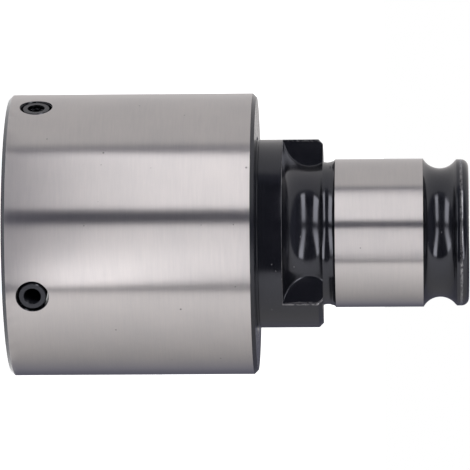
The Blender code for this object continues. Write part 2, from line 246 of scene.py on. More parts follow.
def blended(tree, fac, first, second):
    """A colour between two colours."""
    node = put(tree, "ShaderNodeMix", data_type="RGBA")
    colours = [socket for socket in node.inputs if socket.type == "RGBA"]
    feed(tree, node.inputs[0], fac)
    for socket, value in zip(colours, (first, second)):
        feed(tree, socket, value if isinstance(value, bpy.types.NodeSocket) else (*value, 1.0))
    return next(socket for socket in node.outputs if socket.type == "RGBA")


def noise(tree, where, scale, detail=2.0, roughness=0.5):
    """Fac of a noise on these coordinates, with scale in waves to the metre."""
    inputs = {"Vector": where, "Scale": scale, "Detail": detail, "Roughness": roughness}
    return put(tree, "ShaderNodeTexNoise", inputs).outputs["Fac"]


def new_finish(name):
    """An empty metal-like material: (material, tree, shader node, Object coordinates)."""
    material = bpy.data.materials.new(name + "_finish")
    material.use_nodes = True
    tree = material.node_tree
    shader = tree.nodes["Principled BSDF"]
    where = tree.nodes.new("ShaderNodeTexCoord").outputs["Object"]
    return material, tree, shader, where


def ring_coordinates(tree, where, around, along):
    """Coordinates for marks that run in rings round the axis, on cylinders and faces alike."""
    split = put(tree, "ShaderNodeSeparateXYZ", {"Vector": where})
    x, y, z = (split.outputs[name] for name in "XYZ")
    flat = put(tree, "ShaderNodeCombineXYZ", {"X": x, "Y": y})
    depth = sums(tree, "ADD", z, vectors(tree, "LENGTH", flat.outputs["Vector"]))
    inputs = {
        "X": sums(tree, "MULTIPLY", x, around),
        "Y": sums(tree, "MULTIPLY", y, around),
        "Z": sums(tree, "MULTIPLY", depth, along),
    }
    return put(tree, "ShaderNodeCombineXYZ", inputs).outputs["Vector"]


def across_marks(tree, where):
    """The direction on the surface across the turning marks, which is the way their gloss spreads."""
    flat = vectors(tree, "MULTIPLY", where, (1.0, 1.0, 0.0))
    round_axis = vectors(tree, "CROSS_PRODUCT", (0.0, 0.0, 1.0), flat)
    in_world = put(
        tree,
        "ShaderNodeVectorTransform",
        {"Vector": round_axis},
        vector_type="VECTOR",
        convert_from="OBJECT",
        convert_to="WORLD",
    )
    normal = tree.nodes.new("ShaderNodeNewGeometry").outputs["Normal"]
    return vectors(tree, "NORMALIZE", vectors(tree, "CROSS_PRODUCT", normal, in_world.outputs["Vector"]))


def bumped(tree, height, distance, strength=1.0, under=None):
    """The surface's normal with this height on it, over another bump where one is given."""
    inputs = {"Height": height, "Distance": distance, "Strength": strength}
    if under is not None:
        inputs["Normal"] = under
    return put(tree, "ShaderNodeBump", inputs).outputs["Normal"]


def specks(tree, where, scale, size, kept):
    """Small round spots: 1 in a spot, with only this part of the cells holding one."""
    cells = put(tree, "ShaderNodeTexVoronoi", {"Vector": where, "Scale": scale, "Randomness": 1.0})
    spot = between(tree, cells.outputs["Distance"], size, size * 0.4)
    chance = put(tree, "ShaderNodeSeparateColor", {"Color": cells.outputs["Color"]}).outputs["Red"]
    return sums(tree, "MULTIPLY", spot, sums(tree, "GREATER_THAN", chance, 1.0 - kept))


def ground_steel(colours):
    """Cylindrically ground steel: fine rings, soft patches, a few small nicks."""
    material, tree, shader, where = new_finish("ground_steel")
    wave_depth, ring_depth, nick_depth = 0.00003, 0.000003, 0.00004
    fine = noise(tree, ring_coordinates(tree, where, 260.0, 6500.0), 1.0, 3.0)
    coarse = noise(tree, ring_coordinates(tree, where, 140.0, 1600.0), 1.0, 2.0)
    rings = weighed(tree, fine, coarse, 0.5)
    tone = weighed(tree, rings, noise(tree, where, 90.0, 4.0, 0.6), 0.55)
    steel = blended(tree, between(tree, tone, 0.25, 0.75), tuple(colours.ground_shade), tuple(colours.ground))
    small, large = specks(tree, where, 620.0, 0.12, 0.03), specks(tree, where, 260.0, 0.075, 0.10)
    nicks = sums(tree, "MAXIMUM", large, small)
    waves = bumped(tree, noise(tree, where, 130.0, 2.0), wave_depth, 0.5)
    lines = bumped(tree, rings, ring_depth, 0.5, waves)
    feed_all(tree, shader, {
        "Base Color": blended(tree, sums(tree, "MULTIPLY", nicks, 0.75), steel, tuple(colours.nick)),
        "Metallic": 1.0,
        "Roughness": between(tree, rings, 0.3, 0.7, 0.29, 0.34),
        "Anisotropic": 1.0,
        "Tangent": across_marks(tree, where),
        "Normal": bumped(tree, nicks, -nick_depth, 1.0, lines),
    })
    return material


def black_oxide(colours):
    """Blackened steel: blue-black, half gloss, with turning marks, dust and worn edges."""
    material, tree, shader, where = new_finish("black_oxide")
    ring_depth = grain_depth = 0.000004
    rings = noise(tree, ring_coordinates(tree, where, 150.0, 3000.0), 1.0, 3.0)
    patches = noise(tree, where, 160.0, 4.0, 0.6)
    wear = put(tree, "ShaderNodeAttribute", attribute_name="edge_wear").outputs["Fac"]
    grain = noise(tree, where, 2600.0, 3.0, 0.7)
    dust = specks(tree, where, 900.0, 0.16, 0.05)
    worn = sums(tree, "MULTIPLY", between(tree, wear, 0.65, 1.0), between(tree, grain, 0.42, 0.56))
    light = sums(tree, "MAXIMUM", worn, sums(tree, "MULTIPLY", dust, 0.5))
    darker, paler = (tuple(part * c for c in colours.black) for part in (0.7, 1.3))
    lines = bumped(tree, rings, ring_depth, 0.5)
    feed_all(tree, shader, {
        "Base Color": blended(tree, light, blended(tree, patches, darker, paler), tuple(colours.worn)),
        "IOR": 1.65,
        "Specular Tint": (*colours.oxide_tint, 1.0),
        "Roughness": between(tree, patches, 0.35, 0.7, 0.12, 0.22),
        "Metallic": sums(tree, "MULTIPLY", worn, 0.85),
        "Normal": bumped(tree, grain, grain_depth, 0.4, lines),
    })
    return material


def plain_steel(name, tint, rough, ring_depth, anisotropic):
    """Turned or polished steel of the inner pieces, in one tint."""
    material, tree, shader, where = new_finish(name)
    rings = noise(tree, ring_coordinates(tree, where, 120.0, 2600.0), 1.0, 3.0)
    tone = weighed(tree, rings, noise(tree, where, 220.0, 4.0, 0.6), 0.5)
    shade = tuple(0.75 * c for c in tint)
    feed_all(tree, shader, {
        "Base Color": blended(tree, between(tree, tone, 0.35, 0.65), shade, tuple(tint)),
        "Metallic": 1.0,
        "Anisotropic": anisotropic,
        "Tangent": across_marks(tree, where),
        "Roughness": between(tree, tone, 0.3, 0.7, rough * 0.8, rough * 1.2),
        "Normal": bumped(tree, rings, ring_depth),
    })
    return material


def finish(name):
    """One of the shared finishes, made when it is first asked for."""
    if name + "_finish" in bpy.data.materials:
        return bpy.data.materials[name + "_finish"]
    colours = bpy.context.scene.adapter_finishes
    makers = {
        "ground_steel": lambda: ground_steel(colours),
        "black_oxide": lambda: black_oxide(colours),
        "hardened_steel": lambda: plain_steel(name, tuple(colours.hardened), 0.32, 0.000004, 0.6),
        "spring_steel": lambda: plain_steel(name, tuple(colours.spring), 0.42, 0.000005, 0.4),
        "ball_steel": lambda: plain_steel(name, tuple(colours.ball), 0.09, 0.0000005, 0.0),
    }
    return makers[name]()


def arc(centre, radius, start, end, steps):
    """Points on an arc round centre, angles measured from outwards to up."""
    angles = [start + (end - start) * step / steps for step in range(steps + 1)]
    return [(centre[0] + radius * math.cos(a), centre[1] + radius * math.sin(a)) for a in angles]


def spun(name, profile, segments, closed=True):
    """A mesh of (radius, height) points turned round Z. An open profile starts and ends on the axis."""
    shape = bmesh.new()
    rings = []
    for radius, height in profile:
        if radius < 1e-9:
            rings.append([shape.verts.new((0.0, 0.0, height))] * segments)
            continue
        turns = [math.tau * step / segments for step in range(segments)]
        rings.append([shape.verts.new((radius * math.cos(a), radius * math.sin(a), height)) for a in turns])
    pairs = list(zip(rings, rings[1:]))
    if closed:
        pairs.append((rings[-1], rings[0]))
    for low, high in pairs:
        for step in range(segments):
            after = (step + 1) % segments
            corners = [low[step], low[after], high[after], high[step]]
            shape.faces.new(list(dict.fromkeys(corners)))
    bmesh.ops.recalc_face_normals(shape, faces=shape.faces)
    return mesh_of(shape, name)


def mesh_of(shape, name):
    """A mesh of what the bmesh holds, which is then freed."""
    mesh = bpy.data.meshes.new(name)
    shape.to_mesh(mesh)
    shape.free()
    return mesh


def rod(name, radius, low, high):
    """A plain round bar from one height to another."""
    return spun(name, [(0, low), (radius, low), (radius, high), (0, high)], 32, closed=False)


def added(name, data):
    """An object of this data, in the scene."""
    made = bpy.data.objects.new(name, data)
    bpy.context.scene.collection.objects.link(made)
    return made


def piece(name, mesh, sharp=30.0):
    """An object of this mesh, smooth but for its sharp edges."""
    mesh.shade_smooth()
    mesh.set_sharp_from_angle(angle=math.radians(sharp))
    return added(name, mesh)


def settled(made, body, slot, *nodes):
    """Rides the piece on its body in place of these CAD nodes."""
    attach(made, body)
    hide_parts(*nodes)


def in_two_finishes(mesh, first, second, has_second):
    """Gives the mesh two finishes, the second of them on the faces that has_second picks."""
    mesh.materials.clear()
    mesh.materials.append(finish(first))
    mesh.materials.append(finish(second))
    for face in mesh.polygons:
        face.material_index = 1 if has_second(face) else 0


class Tree:
    """A Geometry Nodes tree under construction, with named inputs, one of them its material."""

    KINDS = {
        int: "NodeSocketInt",
        float: "NodeSocketFloat",
        bpy.types.Material: "NodeSocketMaterial",
        bpy.types.Object: "NodeSocketObject",
    }

    def __init__(self, name, **inputs):
        self.group = bpy.data.node_groups.new(name, "GeometryNodeTree")
        sides = self.group.interface
        sides.new_socket("Geometry", in_out="OUTPUT", socket_type="NodeSocketGeometry")
        self.keys = {}
        for label, value in inputs.items():
            kind = next(self.KINDS[k] for k in self.KINDS if isinstance(value, k))
            socket = sides.new_socket(label.replace("_", " ").capitalize(), in_out="INPUT", socket_type=kind)
            self.keys[socket.identifier] = value
        self.given = self.group.nodes.new("NodeGroupInput")
        self.end = self.group.nodes.new("NodeGroupOutput")

    def value(self, label):
        return self.given.outputs[label]

    def node(self, kind, inputs=None, **settings):
        return put(self.group, kind, inputs, **settings)

    def plus(self, first, second):
        return sums(self.group, "ADD", first, second)

    def less(self, first, second):
        return sums(self.group, "SUBTRACT", first, second)

    def times(self, first, second):
        return sums(self.group, "MULTIPLY", first, second)

    def over(self, first, second):
        return sums(self.group, "DIVIDE", first, second)

    def smaller(self, first, second):
        return sums(self.group, "MINIMUM", first, second)

    def vector(self, **parts):
        return self.node("ShaderNodeCombineXYZ", parts).outputs[0]

    def round_axis(self, turn, radius, height):
        """The place at this turn, radius and height."""
        x = self.times(sums(self.group, "COSINE", turn), radius)
        y = self.times(sums(self.group, "SINE", turn), radius)
        return self.vector(X=x, Y=y, Z=height)

    def shape(self, label):
        """The mesh of the object that an input names."""
        return self.node("GeometryNodeObjectInfo", {"Object": self.value(label)}).outputs["Geometry"]

    def moved(self, geometry, height, tilt=0.0):
        """The geometry tilted round X and put at a height."""
        inputs = {"Geometry": geometry, "Translation": self.vector(Z=height), "Rotation": (tilt, 0.0, 0.0)}
        return self.node("GeometryNodeTransform", inputs).outputs[0]

    def copies(self, geometry, place, turn):
        """As many instances as the tree's count says, at these places and with these turns."""
        points = self.node("GeometryNodePoints", {"Count": self.value("Count"), "Position": place})
        rotation = self.node("FunctionNodeEulerToRotation", {"Euler": turn})
        inputs = {"Points": points.outputs[0], "Instance": geometry, "Rotation": rotation.outputs[0]}
        return self.node("GeometryNodeInstanceOnPoints", inputs).outputs[0]

    def ring(self, geometry):
        """Instances in a ring round the axis, each turned to face outwards."""
        index = self.node("GeometryNodeInputIndex").outputs[0]
        turn = self.over(self.times(index, math.tau), self.value("Count"))
        turn = self.plus(turn, self.value("First angle"))
        place = self.round_axis(turn, self.value("Radius"), self.value("Height"))
        return self.copies(geometry, place, self.vector(Z=turn))

    def cut(self, body, cutter):
        inputs = {"Mesh 1": body, "Mesh 2": cutter, "Self Intersection": True}
        cut = self.node("GeometryNodeMeshBoolean", inputs, operation="DIFFERENCE", solver="EXACT")
        return cut.outputs["Mesh"]

    def close(self, geometry):
        """Ends the tree in Realize Instances and Set Material."""
        real = self.node("GeometryNodeRealizeInstances", {"Geometry": geometry})
        inputs = {"Geometry": real.outputs[0], "Material": self.value("Material")}
        coloured = self.node("GeometryNodeSetMaterial", inputs)
        self.group.links.new(coloured.outputs[0], self.end.inputs[0])

    def mesh(self, name):
        """The plain mesh that the tree makes with its inputs set."""
        holder = added(name, bpy.data.meshes.new(name))
        modifier = holder.modifiers.new(name, "NODES")
        modifier.node_group = self.group
        for identifier, value in self.keys.items():
            modifier[identifier] = value
        evaluated = holder.evaluated_get(bpy.context.evaluated_depsgraph_get())
        made = bpy.data.meshes.new_from_object(evaluated)
        made.name = name
        holder.modifiers.remove(modifier)
        bpy.data.objects.remove(holder)
        return made


def repeated_cut(name, body_mesh, cutter_mesh, slot, count, radius=0.0, height=0.0, first_angle=0.0):
    """The body's mesh less a ring of cutters, made by Geometry Nodes."""
    body = added(name + "_blank", body_mesh)
    cutter = added(name + "_cutter", cutter_mesh)
    tree = Tree(
        name + "_cuts",
        body=body,
        cutter=cutter,
        count=count,
        radius=radius,
        height=height,
        first_angle=first_angle,
        material=finish(slot),
    )
    ring = tree.node("GeometryNodeRealizeInstances", {"Geometry": tree.ring(tree.shape("Cutter"))})
    tree.close(tree.cut(tree.shape("Body"), ring.outputs[0]))
    made = tree.mesh(name)
    bpy.data.objects.remove(body)
    bpy.data.objects.remove(cutter)
    return made


# Turns a mesh made along Z so that its Z points along X, outwards
OUTWARDS = Matrix.Rotation(math.pi / 2, 4, "Y")


def true_round_normals(mesh, radius, low, high):
    """Gives the faces of the outside cylinder its exact normals, also next to holes."""
    normals = [Vector(corner.vector) for corner in mesh.corner_normals]
    for face in mesh.polygons:
        outside = all(
            abs(math.hypot(*mesh.vertices[v].co.xy) - radius) < radius * 4e-4
            and low - 1e-6 < mesh.vertices[v].co.z < high + 1e-6
            for v in face.vertices
        )
        if not outside:
            continue
        for loop in face.loop_indices:
            place = mesh.vertices[mesh.loops[loop].vertex_index].co
            normals[loop] = Vector((place.x, place.y, 0.0)).normalized()
    mesh.normals_split_custom_set(normals)


class ADAPTER_OT_head_sleeve(bpy.types.Operator):
    """Makes the ground head sleeve with its screw holes and keyways"""

    bl_idname = "adapter.head_sleeve"
    bl_label = "Head sleeve"

    def blank(self, head):
        """The turned sleeve, with its outside in short rings."""
        chamfer, edge = head.chamfer, head.small_edge
        rings = 12
        band = [chamfer + (head_rear - 2 * chamfer) * step / rings for step in range(rings + 1)]
        rear_wall = head_rear - head.rear_wall
        profile = [
            (head.pocket_radius + edge, 0),
            (head_radius - chamfer, 0),
            *[(head_radius, height) for height in band],
            (head_radius - chamfer, head_rear),
            (head.journal_radius + edge, head_rear),
            (head.journal_radius, head_rear - edge),
            (head.journal_radius, rear_wall),
            (head.bore_radius, rear_wall),
            (head.bore_radius, head.shoulder),
            (head.pocket_radius, head.shoulder),
            (head.pocket_radius, edge),
        ]
        return spun("head_sleeve", profile, 192)

    def drill(self, head):
        """What a screw hole takes away, with the cone at its mouth."""
        mouth_sunk = 0.0001
        depth = head_radius - head.pocket_radius
        flare = head.mouth_radius - head.hole_radius
        surface = math.sqrt(head_radius**2 - head.mouth_radius**2) - head_radius
        mouth_end = surface - flare - mouth_sunk
        profile = [
            (0, -2 * depth),
            (head.hole_radius, -2 * depth),
            (head.hole_radius, mouth_end),
            (head.mouth_radius, mouth_end + flare),
            (head.mouth_radius, depth),
            (0, depth),
        ]
        drill = spun("drill", profile, 64, closed=False)
        drill.transform(OUTWARDS)
        return drill

    def execute(self, context):
        head = context.scene.adapter_head
        screws = context.scene.adapter_screws
        clutch = context.scene.adapter_clutch
        drilled = repeated_cut(
            "head_sleeve_holes",
            self.blank(head),
            self.drill(head),
            "black_oxide",
            screws.count,
            head_radius,
            screws.height,
            screws.first_angle,
        )
        mesh = repeated_cut(
            "head_sleeve_ground",
            drilled,
            rod("key", head.keyway_radius, -head.small_edge, head.keyway_end),
            "black_oxide",
            clutch.pin_count,
            head.bore_radius,
            first_angle=clutch.pin_first_angle,
        )

        def off_band(face):
            outwards = Vector((face.center.x, face.center.y, 0.0)).normalized()
            return face.normal.dot(outwards) <= 0.999 or math.hypot(*face.center.xy) <= 0.995 * head_radius

        in_two_finishes(mesh, "ground_steel", "black_oxide", off_band)
        made = piece("head_sleeve_ground", mesh)
        true_round_normals(mesh, head_radius, head.chamfer, head_rear - head.chamfer)
        settled(made, "head", "ground_steel", "head_sleeve")
        return {"FINISHED"}


def round_rows(points, wear=0.0):
    """Rows without a milled groove, through these (radius, height) points."""
    return [(radius, height, None, wear) for radius, height in points]


def collar_rows(sizes):
    """The inner flange and the collar, up to the worn edge of the milled groove."""
    collar, edge, flange_edge = sizes.collar_radius, sizes.edge_radius, 0.0002
    rows = round_rows([
        (sizes.bore_radius, flange_front),
        (flange_radius - flange_edge, flange_front),
        (flange_radius, flange_front + flange_edge),
        (flange_radius, sizes.flange_rear),
        (collar, sizes.flange_rear),
    ])
    # A fine groove where the collar leaves the head
    line_height, line_radius, line_out, line_wear = head_rear + 0.00042, 0.00016, 0.00006, 0.15
    line = arc((collar + line_out, line_height), line_radius, -math.pi * 0.62, -math.pi * 1.38, 6)
    rows += round_rows(line, line_wear)
    low, high, rings = line_height + 0.0004, sizes.collar_end - edge, 4
    rows += round_rows((collar, low + (high - low) * step / rings) for step in range(rings + 1))
    rows += [(collar, z, r, 1.0) for r, z in arc((collar - edge, high), edge, 0, math.pi / 2, 4)[1:]]
    return rows


def lug_rows(sizes, lug_end, neck_foot):
    """The round-bottomed groove that is milled between the lugs, and the lugs' chamfered ends."""
    middle = sizes.collar_end + sizes.groove_radius
    reach = lug_end - middle
    centre_radius = neck_foot + math.sqrt(sizes.groove_radius**2 - reach**2)
    start = centre_radius - (sizes.collar_radius - sizes.edge_radius)
    first = math.pi / 2 - math.asin(min(1.0, start / sizes.groove_radius))
    last = math.asin(reach / sizes.groove_radius)
    chamfer_start = lug_end - sizes.lug_chamfer
    steps = 34
    rows = []
    for step in range(1, steps + 1):
        lean = -first + (last + first) * step / steps
        height = middle + sizes.groove_radius * math.sin(lean)
        groove = centre_radius - sizes.groove_radius * math.cos(lean)
        rows.append((sizes.collar_radius - max(0.0, height - chamfer_start), height, groove, 0.0))
    return rows


def neck_rows(sizes, lug_end, neck_foot):
    """The neck, a shallow turned hollow, and the chamfer at the foot of the ground shank."""
    neck_end, hollow = sizes.shank_start - 0.0005, 0.0024
    half = math.asin((neck_end - lug_end) / 2 / hollow)
    centre = (neck_foot + hollow * math.cos(half), (lug_end + neck_end) / 2)
    return round_rows([
        (neck_foot, lug_end),
        *arc(centre, hollow, math.pi + half, math.pi - half, 8)[1:],
        (sizes.neck_radius, neck_end + 0.00008),
        (sizes.shank_radius - 0.00035, sizes.shank_start - 0.00005),
    ])


def ground_band(sizes):
    """The heights between which the shank is ground."""
    return sizes.shank_start + 0.0003, sizes.shank_end - 0.00006


def end_rows(sizes):
    """The ball groove and the end flange with its scuffed rounding."""
    flange = sizes.shank_radius - 0.0002
    ball = sizes.ball_groove_radius
    centre = sizes.shank_radius - sizes.ball_groove_depth + ball
    lower = math.acos((centre - sizes.shank_radius) / ball)
    upper = math.acos((centre - flange) / ball)
    groove_height = sizes.shank_end + ball * math.sin(lower)
    groove = arc((centre, groove_height), ball, math.pi + lower, math.pi - upper, 24)
    lip_height, lip_radius, lip_wear = groove[-1][1] + 0.0002, 0.00025, 0.3
    corner = (flange - sizes.rounding, total_length - sizes.rounding)
    rounded = arc(corner, sizes.rounding, 0.0, math.pi / 2, 10)
    bore, bore_edge = sizes.bore_radius, 0.0004
    return [
        *round_rows(groove[:-1]),
        *round_rows(arc((flange - lip_radius, lip_height), lip_radius, -1.2, 0.0, 4), lip_wear),
        *round_rows(rounded[:1], 1.0),
        *round_rows(rounded[1:2], 0.9),
        *round_rows(rounded[2:]),
        *round_rows([(bore + bore_edge, total_length), (bore, total_length - bore_edge)]),
    ]


def shank_rows(sizes):
    """Rows of the shank body from the bore's foot out and round to the bore's head.

    A row is (outer radius, height, groove radius, wear). The groove radius is where the milled groove
    runs between the lugs, and None is a plain round row.
    """
    lug_end = sizes.shank_start - sizes.neck_length
    neck_foot = sizes.neck_radius - 0.00002
    low, high = ground_band(sizes)
    rings = 8
    band = [(sizes.shank_radius, low + (high - low) * step / rings) for step in range(rings + 1)]
    return [
        *collar_rows(sizes),
        *lug_rows(sizes, lug_end, neck_foot),
        *neck_rows(sizes, lug_end, neck_foot),
        *round_rows(band),
        *end_rows(sizes),
    ]


def quarter(outer, groove, sizes):
    """(x, y, wear) points of a row's section from the lug's middle to the groove's middle."""
    half = sizes.lug_half_width
    lug_points, corner_points, side_points, groove_points = 9, 4, 3, 24
    total = lug_points + 2 * corner_points + side_points + groove_points
    if groove is None:
        turns = [math.pi / 2 * step / (total - 1) for step in range(total)]
        return [(outer * math.cos(a), outer * math.sin(a), 0.0) for a in turns]
    groove = min(groove, outer)
    lug_turn = math.asin(half / outer)
    foot_turn = math.asin(half / groove)
    top, foot = outer * math.cos(lug_turn), groove * math.cos(foot_turn)
    tall = top - foot
    edge = min(sizes.edge_radius, 0.3 * tall)
    fillet = min(sizes.foot_radius, 0.3 * tall)

    def bend(a, corner, b, points, wear):
        for step in range(points):
            t = step / (points - 1)
            x = (1 - t) ** 2 * a[0] + 2 * t * (1 - t) * corner[0] + t * t * b[0]
            y = (1 - t) ** 2 * a[1] + 2 * t * (1 - t) * corner[1] + t * t * b[1]
            yield (x, y, wear)

    edge_turn = lug_turn - edge / outer
    made = []
    for step in range(lug_points):
        a = edge_turn * step / lug_points
        made.append((outer * math.cos(a), outer * math.sin(a), 0.0))
    on_lug = (outer * math.cos(edge_turn), outer * math.sin(edge_turn))
    made.extend(bend(on_lug, (top, half), (top - edge, half), corner_points, 1.0))
    for step in range(1, side_points + 1):
        x = top - edge + (foot + fillet - top + edge) * step / (side_points + 1)
        made.append((x, half, 0.0))
    start_turn = foot_turn + fillet / groove
    on_groove = (groove * math.cos(start_turn), groove * math.sin(start_turn))
    made.extend(bend((foot + fillet, half), (foot, half), on_groove, corner_points, 0.35))
    for step in range(1, groove_points + 1):
        a = start_turn + (math.pi / 2 - start_turn) * step / groove_points
        made.append((groove * math.cos(a), groove * math.sin(a), 0.0))
    return made


def round_section(part):
    """Mirrors a quarter's points to the whole way round."""
    half = part + [(-x, y, wear) for x, y, wear in reversed(part[:-1])]
    return half + [(x, -y, wear) for x, y, wear in reversed(half[1:-1])]


def swept_ball(shape, radius, path, sides=24):
    """Adds the space that a ball takes while its centre runs along path."""
    steps = sides // 4
    ways = [(b - a).normalized() for a, b in zip(path, path[1:])]
    stations = []
    for step in range(steps - 1, 0, -1):
        lean = math.pi / 2 * step / steps
        stations.append((path[0] - ways[0] * radius * math.sin(lean), ways[0], radius * math.cos(lean)))
    for index, point in enumerate(path):
        stations.append((point, ways[min(index, len(ways) - 1)], radius))
    for step in range(1, steps):
        lean = math.pi / 2 * step / steps
        stations.append((path[-1] + ways[-1] * radius * math.sin(lean), ways[-1], radius * math.cos(lean)))
    rings = []
    turns = [math.tau * (corner + 0.5) / sides for corner in range(sides)]
    for middle, way, width in stations:
        side = way.cross(Vector((0, 0, 1))).normalized()
        up = side.cross(way)
        places = [middle + (side * math.cos(a) + up * math.sin(a)) * width for a in turns]
        rings.append([shape.verts.new(place) for place in places])
    ends = (shape.verts.new(path[0] - ways[0] * radius), shape.verts.new(path[-1] + ways[-1] * radius))
    for corner in range(sides):
        after = (corner + 1) % sides
        for low, high in zip(rings, rings[1:]):
            shape.faces.new((low[corner], low[after], high[after], high[corner]))
        shape.faces.new((ends[0], rings[0][after], rings[0][corner]))
        shape.faces.new((ends[1], rings[-1][corner], rings[-1][after]))
    bmesh.ops.recalc_face_normals(shape, faces=shape.faces)


class ADAPTER_OT_shank_body(bpy.types.Operator):
    """Makes the shank body: inner flange, collar, lugs, neck, ground shank and end flange"""

    bl_idname = "adapter.shank_body"
    bl_label = "Shank body"

    def blank(self, sizes):
        """The body before its ball ramps are cut, with the wear of its edges on its vertices."""
        shape = bmesh.new()
        wear_layer = shape.verts.layers.float.new("edge_wear")
        rings = []
        for outer, height, groove, row_wear in shank_rows(sizes):
            ring = []
            for x, y, wear in round_section(quarter(outer, groove, sizes)):
                vert = shape.verts.new((x, y, height))
                in_groove = groove is None or math.hypot(x, y) < outer - 1e-6
                vert[wear_layer] = max(wear, row_wear if in_groove else 0.0)
                ring.append(vert)
            rings.append(ring)
        for low, high in zip(rings, rings[1:] + rings[:1]):
            for corners in zip(low, low[1:] + low[:1], high[1:] + high[:1], high):
                shape.faces.new(corners)
        bmesh.ops.remove_doubles(shape, verts=shape.verts, dist=1e-7)
        bmesh.ops.dissolve_degenerate(shape, edges=shape.edges, dist=1e-7)
        bmesh.ops.recalc_face_normals(shape, faces=shape.faces)
        return mesh_of(shape, "shank_blank")

    def ramp(self, clutch):
        """What a ball takes away while it climbs its ramp."""
        steps = 5
        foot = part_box("clutch_ball_1")[0].z + clutch.ball_radius
        path = []
        for step in range(steps + 1):
            climb = step / steps
            turn = clutch.slip_angle * climb
            x, y = clutch.ball_circle * math.cos(turn), clutch.ball_circle * math.sin(turn)
            path.append(Vector((x, y, foot - clutch.slip_lift * climb)))
        ramp = bmesh.new()
        swept_ball(ramp, clutch.ball_radius + clutch.clearance, path)
        return mesh_of(ramp, "ball_ramp")

    def execute(self, context):
        sizes = context.scene.adapter_shank
        clutch = context.scene.adapter_clutch
        mesh = repeated_cut(
            "shank_body_black", self.blank(sizes), self.ramp(clutch), "black_oxide", clutch.ball_count
        )
        low, high = ground_band(sizes)

        def on_band(face):
            return low < face.center.z < high and math.hypot(*face.center.xy) > sizes.shank_radius - 0.0003

        in_two_finishes(mesh, "black_oxide", "ground_steel", on_band)
        settled(piece("shank_body_black", mesh, 38.0), "shank", "black_oxide", "shank_body")
        return {"FINISHED"}


def screw_tree(sizes, screw_length):
    """A set screw along Z with its outer face at height 0: thread, cone point and hexagon socket."""
    tree = Tree(
        "set_screw",
        radius=sizes.radius,
        pitch=sizes.pitch,
        length=screw_length,
        point_radius=sizes.point_radius,
        point_length=sizes.point_length,
        socket_width=sizes.socket_width,
        socket_depth=sizes.socket_depth,
        chamfer=sizes.chamfer,
        material=finish("black_oxide"),
    )
    radius, pitch, full_length = tree.value("Radius"), tree.value("Pitch"), tree.value("Length")
    point_radius, socket_width = tree.value("Point radius"), tree.value("Socket width")
    around, along = 48, 72
    inputs = {"Size X": 1.0, "Size Y": 1.0, "Vertices X": around + 1, "Vertices Y": along + 1}
    grid = tree.node("GeometryNodeMeshGrid", inputs)
    where = tree.node("GeometryNodeInputPosition").outputs[0]
    split = tree.node("ShaderNodeSeparateXYZ", {"Vector": where})
    part_round = tree.plus(split.outputs["X"], 0.5)
    down = tree.times(tree.plus(split.outputs["Y"], 0.5), full_length)
    # The thread's tooth at this turn and depth, which runs out at the outer face
    phase = sums(tree.group, "FRACT", tree.plus(tree.over(down, pitch), part_round))
    tooth = sums(tree.group, "ABSOLUTE", tree.less(phase, 0.5))
    depth = tree.times(pitch, 0.6)
    cut = tree.times(tree.smaller(tree.times(tooth, 2.2), 1.0), depth)
    threaded = tree.less(radius, tree.times(cut, tree.smaller(tree.over(down, depth), 1.0)))
    # Both ends are chamfered, the outer one at 45 degrees and the inner one down to the point
    face_radius = tree.less(radius, tree.value("Chamfer"))
    slope = tree.over(tree.less(tree.less(radius, depth), point_radius), tree.value("Point length"))
    inner_end = tree.plus(point_radius, tree.times(tree.less(full_length, down), slope))
    wall_radius = tree.smaller(threaded, tree.smaller(tree.plus(face_radius, down), inner_end))
    place = tree.round_axis(tree.times(part_round, math.tau), wall_radius, tree.times(down, -1.0))
    wall = tree.node("GeometryNodeSetPosition", {"Geometry": grid.outputs["Mesh"], "Position": place})
    shell = tree.node("GeometryNodeJoinGeometry", {"Geometry": wall.outputs[0]})
    point_height = tree.times(full_length, -1.0)
    for cap_radius, height, tilt in ((face_radius, 0.0, 0.0), (point_radius, point_height, math.pi)):
        inputs = {"Vertices": around, "Radius": cap_radius}
        disc = tree.node("GeometryNodeMeshCircle", inputs, fill_type="NGON")
        tree.group.links.new(tree.moved(disc.outputs[0], height, tilt), shell.inputs[0])
    inputs = {"Geometry": shell.outputs[0], "Distance": 1e-6}
    body = tree.node("GeometryNodeMergeByDistance", inputs).outputs[0]
    # Hexagon socket with a cone at its mouth and a drill point at its foot
    corner = tree.over(socket_width, math.sqrt(3))
    inputs = {"Vertices": 6, "Radius": corner, "Depth": tree.times(tree.value("Socket depth"), 2.0)}
    hexagon = tree.node("GeometryNodeMeshCylinder", inputs, fill_type="NGON")
    body = tree.cut(body, hexagon.outputs["Mesh"])
    foot_sunk = tree.plus(tree.value("Socket depth"), tree.times(socket_width, 0.29))
    mouth_sunk = tree.times(corner, -0.29)
    tip = 0.00001
    for sides, top, bottom, tall, height in (
        (48, tree.times(corner, 1.55), tree.times(corner, 0.55), tree.times(corner, 0.6), mouth_sunk),
        (24, tree.times(socket_width, 0.5), tip, tree.times(socket_width, 0.3), tree.times(foot_sunk, -1.0)),
    ):
        inputs = {"Vertices": sides, "Radius Top": top, "Radius Bottom": bottom, "Depth": tall}
        cone = tree.node("GeometryNodeMeshCone", inputs, fill_type="NGON")
        body = tree.cut(body, tree.moved(cone.outputs["Mesh"], height))
    tree.close(body)
    return tree


